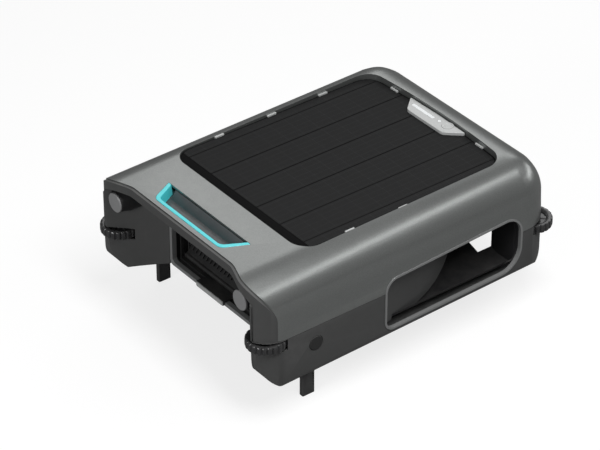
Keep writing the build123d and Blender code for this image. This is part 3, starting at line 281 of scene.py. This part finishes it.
# one finish per slot of the part's record
looks = {
    # the edge amount and edge colour of a look paint a highlight along its convex edges
    "deck_grey": dict(
        color=(0.285, 0.296, 0.291), roughness=0.31, spread=0.10, metallic=0.8, coat=0.14, coatRoughness=0.2,
        flakes=0.16, flakeScale=1300.0, drift=0.07, grain=0.05, grainScale=1400.0, dust=0.05,
        highlight=0.25, highlightColor=(0.5, 0.51, 0.5),
    ),
    "tab_grey": dict(
        color=(0.50, 0.51, 0.505), roughness=0.34, spread=0.12, metallic=0.15, coat=0.2, drift=0.08,
        flakes=0.08, grain=0.06, highlight=0.2, highlightColor=(0.7, 0.7, 0.7),
    ),
    "trim_cyan": dict(
        color=(0.05, 0.66, 0.71), roughness=0.33, spread=0.15, coat=0.35, coatRoughness=0.12, drift=0.1,
        grain=0.05, highlight=0.35, highlightColor=(0.55, 0.98, 0.98),
    ),
    "smoked_window": dict(
        color=(0.095, 0.102, 0.106), roughness=0.22, spread=0.12, specular=0.25, coat=0.1, coatRoughness=0.06,
        drift=0.2, grain=0.04, transmission=0.25, dust=0.25, ior=1.5,
    ),
    "hull_charcoal": dict(
        color=(0.07, 0.071, 0.0705), roughness=0.46, spread=0.18, coat=0.06, drift=0.14, grain=0.22,
        grainScale=1500.0, grainDepth=0.0003, highlight=0.5, highlightColor=(0.15, 0.15, 0.15), dust=0.12,
    ),
    "frame_grey": dict(
        color=(0.27, 0.275, 0.275), roughness=0.34, spread=0.14, metallic=0.3, coat=0.25, drift=0.1,
        grain=0.1, highlight=0.4, highlightColor=(0.42, 0.42, 0.42),
    ),
    "housing_black": dict(
        color=(0.021, 0.021, 0.022), roughness=0.42, spread=0.2, coat=0.1, drift=0.25, grain=0.2,
        grainScale=1200.0, highlight=0.5, highlightColor=(0.09, 0.09, 0.09), dust=0.1,
    ),
    "sensor_grey": dict(
        color=(0.27, 0.272, 0.275), roughness=0.3, spread=0.15, coat=0.3, drift=0.1, flakes=0.07, grain=0.06,
        highlight=0.3, highlightColor=(0.35, 0.35, 0.35),
    ),
    "rubber_black": dict(
        color=(0.026, 0.026, 0.026), roughness=0.72, spread=0.2, drift=0.3, grain=0.3, grainScale=700.0,
        highlight=0.4, highlightColor=(0.08, 0.08, 0.08), dust=0.2,
    ),
    "tyre_black": dict(
        color=(0.024, 0.024, 0.025), roughness=0.27, spread=0.2, coat=0.6, coatRoughness=0.18, drift=0.25,
        grain=0.14, grainScale=800.0, highlight=0.5, highlightColor=(0.11, 0.11, 0.11), dust=0.08,
    ),
    "laminate_black": dict(
        color=(0.0036, 0.0036, 0.0038), roughness=0.55, spread=0.12, specular=0.045, drift=0.2, grain=0.1,
        dots=0.0022, dotTint=0.1,
    ),
    "solar_cell": dict(
        color=(0.0112, 0.0114, 0.0117), roughness=0.55, spread=0.1, specular=0.11, drift=0.16, grain=0.22,
        grainDepth=0.0002, dots=0.0022, dotTint=0.3,
        lines=dict(
            pitchX=0.0102, pitchY=0.0262, offsetX=0.0, offsetY=0.004, width=0.00013, strength=0.28,
            color=(0.085, 0.085, 0.088),
        ),
    ),
    "light_white": dict(
        color=(0.9, 0.93, 0.94), roughness=0.28, spread=0.1, coat=0.4, drift=0.05, grain=0.04,
        transmission=0.1,
    ),
    "steel": dict(
        color=(0.6, 0.6, 0.61), roughness=0.24, spread=0.3, metallic=1.0, drift=0.2, grain=0.1,
        grainScale=2200.0,
    ),
    "motor_metal": dict(
        color=(0.52, 0.52, 0.53), roughness=0.3, spread=0.3, metallic=1.0, drift=0.2, grain=0.15,
        grainScale=1800.0,
    ),
    "basket_black": dict(
        color=(0.017, 0.0173, 0.0176), roughness=0.36, spread=0.2, coat=0.12, drift=0.25, grain=0.16,
        highlight=0.5, highlightColor=(0.1, 0.1, 0.1), dust=0.12,
    ),
    "mesh_grey": dict(
        color=(0.11, 0.112, 0.112), roughness=0.5, spread=0.2, drift=0.3, grain=0.35, grainScale=2600.0,
        dust=0.2,
    ),
    "leg_black": dict(
        color=(0.048, 0.048, 0.0485), roughness=0.38, spread=0.2, coat=0.1, drift=0.2, grain=0.16,
        highlight=0.55, highlightColor=(0.13, 0.13, 0.13), dust=0.08,
    ),
    "cell_wrap": dict(
        color=(0.05, 0.15, 0.3), roughness=0.25, spread=0.2, coat=0.5, drift=0.12, grain=0.1,
        grainScale=300.0,
    ),
    "board_green": dict(
        color=(0.02, 0.13, 0.055), roughness=0.32, spread=0.15, coat=0.4, drift=0.15, grain=0.1,
        lines=dict(
            pitchX=0.0061, pitchY=0.0083, offsetX=0.001, offsetY=0.002, width=0.00035, strength=0.6,
            color=(0.035, 0.22, 0.09),
        ),
    ),
    "chip_black": dict(
        color=(0.02, 0.02, 0.02), roughness=0.5, spread=0.15, drift=0.3, grain=0.3, grainScale=3000.0,
    ),
    "foam_white": dict(
        color=(0.78, 0.78, 0.75), roughness=0.85, spread=0.1, drift=0.12, grain=0.8, grainScale=420.0,
        grainDepth=0.0008,
    ),
}
finishes = {slotName: finish(slotName.replace("_", " "), look) for slotName, look in looks.items()}
slotOf = {}
for nodeName, node in nodes.items():
    slotOf[nodeName] = node.data.materials[0].name.split(".")[0]
    node.data.materials[0] = finishes[slotOf[nodeName]]
print("finishes made:", len(finishes))


def addPiece(pieceName, form, slotName, body):
    # writes a bmesh to its own piece that rides on a body
    mesh = bpy.data.meshes.new(pieceName)
    form.to_mesh(mesh)
    form.free()
    piece = bpy.data.objects.new(pieceName, mesh)
    bpy.context.scene.collection.objects.link(piece)
    mesh.materials.append(finishes[slotName])
    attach(piece, body)
    return piece


def smoothPiece(piece, angle):
    piece.data.shade_smooth()
    piece.data.set_sharp_from_angle(angle=math.radians(angle))


# how a node's mesh is cleaned and where its edges are rounded, in metres and degrees
refine = dict(mergeDistance=0.000004, flatAngle=0.4, sharpAngle=30.0, bevelAngle=38.0, segments=2)


def softenEdges(piece, width):
    bevel = piece.modifiers.new("edge", "BEVEL")
    bevel.width = width
    bevel.segments = refine["segments"]
    bevel.limit_method = "ANGLE"
    bevel.angle_limit = math.radians(refine["bevelAngle"])
    bevel.use_clamp_overlap = True
    bevel.harden_normals = True


def refineNode(nodeName, edgeWidth):
    # the node's own shape with merged faces, smooth shading and small rounded edges
    form = bmesh.new()
    form.from_mesh(nodes[nodeName].data)
    bmesh.ops.remove_doubles(form, verts=form.verts, dist=refine["mergeDistance"])
    flat = math.radians(refine["flatAngle"])
    bmesh.ops.dissolve_limit(form, angle_limit=flat, verts=form.verts, edges=form.edges)
    piece = addPiece(nodeName + "_shell", form, slotOf[nodeName], bodyOf[nodeName])
    if "custom_normal" in piece.data.attributes:
        piece.data.attributes.remove(piece.data.attributes["custom_normal"])
    smoothPiece(piece, refine["sharpAngle"])
    if edgeWidth:
        softenEdges(piece, edgeWidth)
    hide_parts(nodeName)


# edge rounding of each visible moulding, metres
edgeWidths = {
    "handle_trim": 0.0007, "handle_window": 0.0005, "mouth_frame": 0.0007, "control_tab": 0.0003,
    "power_button": 0.0003, "light_bar": 0.0002, "signal_light": 0.0002, "panel_clips": 0.0004,
    "sensor_left": 0.0005, "sensor_right": 0.0005, "tray_bosses": 0.0005, "debris_basket": 0.0004,
    "debris_flap": 0.0003, "propeller_left": 0.0003, "propeller_right": 0.0003, "leg_left": 0.00025,
    "leg_right": 0.00025, "window_bezel_left": 0.0004, "window_bezel_right": 0.0004,
    "guide_vane_left": 0.0005, "guide_vane_right": 0.0005, "charge_cap": 0.0003,
}
for nodeName, width in edgeWidths.items():
    refineNode(nodeName, width)
print("mouldings refined:", len(edgeWidths))

# knurled bumper wheels: a tyre ring and a dished hub, with sections as radius and height in metres
wheel = dict(
    knurls=22, stepsPerKnurl=8, knurlDepth=0.0017, knurlStart=0.0240, knurlBand=0.0040, knurlPower=1.5,
    tyreSharp=40.0,
    tyreSection=[
        (0.0206, -0.0052), (0.0216, -0.0061), (0.0246, -0.0065), (0.0268, -0.0061), (0.0277, -0.0050),
        (0.0280, -0.0034), (0.0280, 0.0034), (0.0277, 0.0050), (0.0268, 0.0061), (0.0246, 0.0065),
        (0.0216, 0.0061), (0.0206, 0.0052),
    ],
    hubSteps=72, pocketCount=6, pocketArc=45, pocketInner=0.011, pocketOuter=0.017, pocketRim=0.0009,
    pocketDepth=0.0011, hubSharp=35.0,
    hubSection=[
        (0.00305, -0.0065), (0.0078, -0.0065), (0.0086, -0.0058), (0.0090, -0.0036), (0.0186, -0.0036),
        (0.0198, -0.0046), (0.0205, -0.0050), (0.0205, 0.0050), (0.0198, 0.0046), (0.0186, 0.0036),
        (0.0090, 0.0036), (0.0086, 0.0058), (0.0078, 0.0065), (0.00305, 0.0065),
    ],
)


def spunRing(section, steps):
    # a closed section turned once round the Z axis
    form = bmesh.new()
    corners = [form.verts.new((radius, 0, height)) for radius, height in section]
    edges = [form.edges.new(pair) for pair in zip(corners, corners[1:] + corners[:1])]
    bmesh.ops.spin(form, geom=corners + edges, axis=(0, 0, 1), cent=(0, 0, 0), angle=2 * math.pi,
                   steps=steps, use_merge=True)
    bmesh.ops.remove_doubles(form, verts=form.verts, dist=0.000001)
    bmesh.ops.recalc_face_normals(form, faces=form.faces)
    return form


def buildTyre(nodeName, centre):
    tyre = spunRing(wheel["tyreSection"], wheel["knurls"] * wheel["stepsPerKnurl"])
    for vert in tyre.verts:
        radius = math.hypot(vert.co.x, vert.co.y)
        share = max(0.0, (radius - wheel["knurlStart"]) / wheel["knurlBand"])
        turn = math.atan2(vert.co.y, vert.co.x) * wheel["knurls"]
        dip = wheel["knurlDepth"] * share * max(0.0, math.cos(turn)) ** wheel["knurlPower"]
        vert.co.x *= (radius - dip) / radius
        vert.co.y *= (radius - dip) / radius
    bmesh.ops.translate(tyre, verts=tyre.verts, vec=centre)
    piece = addPiece(nodeName + "_tyre", tyre, "tyre_black", bodyOf[nodeName])
    smoothPiece(piece, wheel["tyreSharp"])
    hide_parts(nodeName)


def inPocket(face):
    # faces of the hub's web between its spokes
    mid = face.calc_center_median()
    reach = math.hypot(mid.x, mid.y)
    turn = math.degrees(math.atan2(mid.y, mid.x)) % (360 / wheel["pocketCount"])
    onWeb = wheel["pocketInner"] < reach < wheel["pocketOuter"] and abs(face.normal.z) > 0.9
    return onWeb and turn < wheel["pocketArc"]


def buildHub(nodeName, centre):
    hub = spunRing(wheel["hubSection"], wheel["hubSteps"])
    dishes = [face for face in hub.faces if inPocket(face)]
    bmesh.ops.inset_region(hub, faces=dishes, thickness=wheel["pocketRim"], depth=-wheel["pocketDepth"],
                           use_even_offset=True)
    bmesh.ops.translate(hub, verts=hub.verts, vec=centre)
    piece = addPiece(nodeName + "_hub", hub, "tyre_black", bodyOf[nodeName])
    smoothPiece(piece, wheel["hubSharp"])


for nodeName in sorted(name for name in nodes if name.startswith("bumper_wheel")):
    low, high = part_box(nodeName)
    buildTyre(nodeName, (low + high) / 2)
    buildHub(nodeName, (low + high) / 2)
print("wheels made")

# woven filter net: floor, two sides and back from grids of fine square bars
net = dict(pitch=0.0042, wire=0.0007, lift=0.0004)


def buildNet():
    low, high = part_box("basket_mesh")
    size = high - low
    middle = (low + high) / 2
    lift = net["lift"]
    countX, countY, countZ = [max(2, round(side / net["pitch"])) for side in size]
    sideways = Matrix.Rotation(math.pi / 2, 4, "Y")
    upright = Matrix.Rotation(math.pi / 2, 4, "X")
    sheets = [
        ((size.x / 2 - lift, size.y / 2, 1), (countX, countY), Matrix(), (middle.x, middle.y, low.z + lift)),
        ((size.z / 2, size.y / 2, 1), (countZ, countY), sideways, (low.x + lift, middle.y, middle.z)),
        ((size.z / 2, size.y / 2, 1), (countZ, countY), sideways, (high.x - lift, middle.y, middle.z)),
        ((size.x / 2, size.z / 2, 1), (countX, countZ), upright, (middle.x, high.y - lift, middle.z)),
    ]
    form = bmesh.new()
    for scale, (across, along), turn, place in sheets:
        made = bmesh.ops.create_grid(form, x_segments=across, y_segments=along, size=1.0)["verts"]
        bmesh.ops.scale(form, vec=scale, verts=made)
        bmesh.ops.transform(form, matrix=Matrix.Translation(place) @ turn, verts=made)
    bmesh.ops.wireframe(form, faces=form.faces[:], thickness=net["wire"], use_replace=True,
                        use_boundary=True, use_even_offset=True)
    piece = addPiece("filter_net", form, "mesh_grey", "basket")
    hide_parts("basket_mesh")
    print("net faces:", len(piece.data.polygons))


buildNet()

# ribbed grip strip clipped on the front of the basket's finger tab
grip = dict(
    width=0.060, height=0.0068, thickness=0.0012, lift=0.0042, ribs=14, ribDepth=0.0005, ribRim=0.0003,
    cornerRadius=0.002, cornerSegments=5, sharpAngle=30.0,
)


def gripCorner(edge):
    # the short edges through the strip's thickness at its two ends
    first, second = edge.verts[0].co, edge.verts[1].co
    atEnd = abs(first.x) > grip["width"] / 2 - 0.0001 and abs(first.x - second.x) < 0.000001
    return atEnd and abs(first.y - second.y) > grip["thickness"] / 2


def buildGrip():
    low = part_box("debris_basket")[0]
    form = bmesh.new()
    bmesh.ops.create_cube(form, size=1.0)
    bmesh.ops.scale(form, vec=(grip["width"], grip["thickness"], grip["height"]), verts=form.verts)
    across = [edge for edge in form.edges if abs(edge.verts[0].co.x - edge.verts[1].co.x) > 0.01]
    bmesh.ops.subdivide_edges(form, edges=across, cuts=2 * grip["ribs"], use_grid_fill=True)
    fronts = [face for face in form.faces if face.normal.y < -0.9]
    fronts.sort(key=lambda face: face.calc_center_median().x)
    bmesh.ops.inset_individual(form, faces=fronts[1:-1:2], thickness=grip["ribRim"], depth=-grip["ribDepth"])
    corners = [edge for edge in form.edges if gripCorner(edge)]
    bmesh.ops.bevel(form, geom=corners, offset=grip["cornerRadius"], segments=grip["cornerSegments"],
                    profile=0.5, affect="EDGES", material=-1)
    place = (0.0, low.y - grip["thickness"] / 2, low.z + grip["lift"])
    bmesh.ops.translate(form, verts=form.verts, vec=place)
    smoothPiece(addPiece("basket_grip", form, "tab_grey", "basket"), grip["sharpAngle"])


buildGrip()

# the large shells: merged and smoothed, with only a fine break on their edges
shellEdges = {
    "top_cover": 0.0009, "lower_hull": 0.0007, "front_arch": 0.0006, "cheek_left": 0.0004,
    "cheek_right": 0.0004, "sensor_face_left": 0.0, "sensor_face_right": 0.0, "jet_duct_left": 0.0,
    "jet_duct_right": 0.0, "solar_panel": 0.0, "solar_cells": 0.0,
}
for nodeName, width in shellEdges.items():
    refineNode(nodeName, width)
print("shells refined:", len(shellEdges))

# pale floor and sky: near white where they are seen, dimmer where they throw light back
studio = dict(
    floorSize=6.0, floorBack=0.22, floorSeen=0.25, floorGlow=0.78, skyBack=0.16, skySeen=0.97,
    aim=(0.0, 0.0, 0.15),
)


def buildStage():
    form = bmesh.new()
    bmesh.ops.create_grid(form, x_segments=8, y_segments=8, size=studio["floorSize"])
    mesh = bpy.data.meshes.new("floor")
    form.to_mesh(mesh)
    form.free()
    floor = bpy.data.objects.new("floor", mesh)
    bpy.context.scene.collection.objects.link(floor)
    material = bpy.data.materials.new("pale floor")
    material.use_nodes = True
    tree = material.node_tree
    shader = tree.nodes["Principled BSDF"].inputs
    seen = tree.nodes.new("ShaderNodeLightPath").outputs["Is Camera Ray"]
    base = mixColors(tree, seen, gray(studio["floorBack"]), gray(studio["floorSeen"]))
    glow = mixColors(tree, seen, gray(0.0), gray(studio["floorGlow"]))
    tree.links.new(base, shader["Base Color"])
    tree.links.new(glow, shader["Emission Color"])
    shader["Emission Strength"].default_value = 1.0
    shader["Roughness"].default_value = 0.9
    shader["Specular IOR Level"].default_value = 0.1
    mesh.materials.append(material)


# softboxes: place, width and height in metres, power in watts
softboxes = {
    "overhead": dict(place=(0.95, -0.15, 2.2), width=0.6, height=1.7, power=38),
    "backWall": dict(place=(-1.5, 1.7, 1.75), width=2.2, height=1.2, power=10),
    "rearStrip": dict(place=(0.6, 2.7, 0.9), width=1.6, height=0.3, power=7),
    "frontFill": dict(place=(0.4, -2.9, 1.1), width=1.2, height=1.0, power=30),
    "rightStrip": dict(place=(1.34, 1.31, 1.95), width=1.6, height=0.2, power=5.2),
}


def aimAt(item, place, target):
    item.location = place
    item.rotation_euler = (Vector(target) - Vector(place)).to_track_quat("-Z", "Y").to_euler()
    bpy.context.scene.collection.objects.link(item)


def addSoftbox(name, box):
    lamp = bpy.data.lights.new(name, "AREA")
    lamp.shape = "RECTANGLE"
    lamp.size = box["width"]
    lamp.size_y = box["height"]
    lamp.energy = box["power"]
    aimAt(bpy.data.objects.new(name, lamp), box["place"], studio["aim"])


buildStage()
for boxName, softbox in softboxes.items():
    addSoftbox(boxName, softbox)

world = bpy.data.worlds.new("studio")
world.use_nodes = True
bpy.context.scene.world = world
sky = world.node_tree
background = sky.nodes["Background"].inputs
seenSky = sky.nodes.new("ShaderNodeLightPath").outputs["Is Camera Ray"]
skyTone = mixColors(sky, seenSky, gray(studio["skyBack"]), gray(studio["skySeen"]))
sky.links.new(skyTone, background["Color"])
background["Strength"].default_value = 1.0
bpy.context.scene.view_settings.view_transform = "Standard"

view = dict(
    place=(2.5512, -2.0023, 2.3264), target=(0.0941, -0.1183, 0.2137), lens=171.5, sensor=36.0, reach=50.0,
)
lens = bpy.data.cameras.new("view")
lens.lens = view["lens"]
lens.sensor_width = view["sensor"]
lens.clip_end = view["reach"]
camera = bpy.data.objects.new("view", lens)
aimAt(camera, view["place"], view["target"])
bpy.context.scene.camera = camera
print("stage, lights and camera set")
